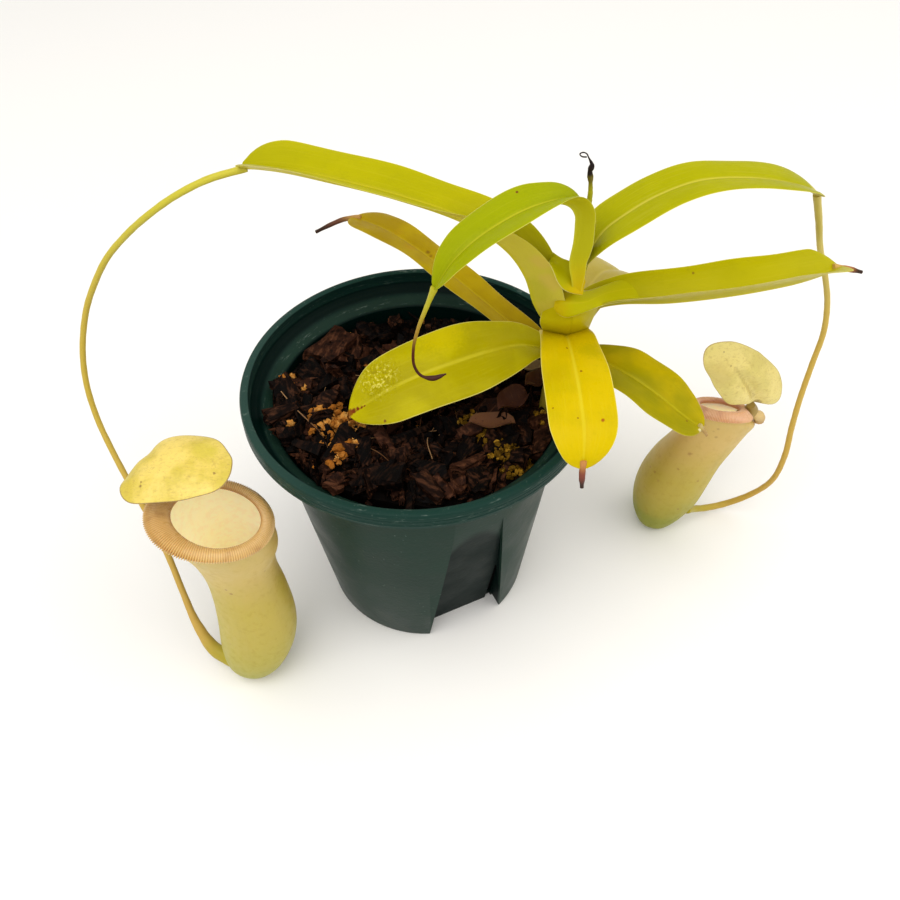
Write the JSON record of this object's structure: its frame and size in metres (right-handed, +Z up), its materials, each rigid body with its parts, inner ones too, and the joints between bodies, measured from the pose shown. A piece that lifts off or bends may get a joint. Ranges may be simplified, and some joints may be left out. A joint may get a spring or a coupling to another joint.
{
  "type": "potted pitcher plant",
  "caption": "Tropical pitcher plant in a dark green nursery pot, with yellow-green strap leaves and grown pitchers on long tendrils that rest beside the pot.",
  "frame": {"origin": "centre of the pot's flat base, on the surface that the pot stands on", "axes": "+Z up, +X towards the side of the pot where the stem stands, -Y towards the side that the picture is taken from"},
  "size_m": [0.2332, 0.1192, 0.1613],
  "materials": {
    "pot_plastic": "satin",
    "soil_mix": "matte",
    "stem_skin": "satin",
    "leaf_yellow_green": "satin",
    "leaf_young_green": "satin",
    "leaf_old_amber": "satin",
    "leaf_bright_yellow": "satin",
    "leaf_pale": "satin",
    "tendril_skin": "satin",
    "young_tip": "satin",
    "pitcher_skin": "satin",
    "pitcher_lip": "gloss",
    "pitcher_lid": "satin"
  },
  "bodies": {
    "root": {"pot": "pot_plastic", "soil": "soil_mix", "stem": "stem_skin", "leaf_1": "leaf_yellow_green", "leaf_2": "leaf_young_green", "leaf_3": "leaf_old_amber", "leaf_4": "leaf_yellow_green", "leaf_5": "leaf_bright_yellow", "leaf_6": "leaf_yellow_green", "leaf_7": "leaf_yellow_green", "leaf_8": "leaf_yellow_green", "leaf_9": "leaf_pale", "new_leaf": "young_tip", "tendril_leaf_1": "tendril_skin", "tendril_leaf_2": "tendril_skin", "tendril_leaf_8": "tendril_skin", "pitcher_left_cup": "pitcher_skin", "pitcher_left_lip": "pitcher_lip", "pitcher_left_lid": "pitcher_lid", "pitcher_right_cup": "pitcher_skin", "pitcher_right_lip": "pitcher_lip", "pitcher_right_lid": "pitcher_lid"}
  },
  "joints": []
}
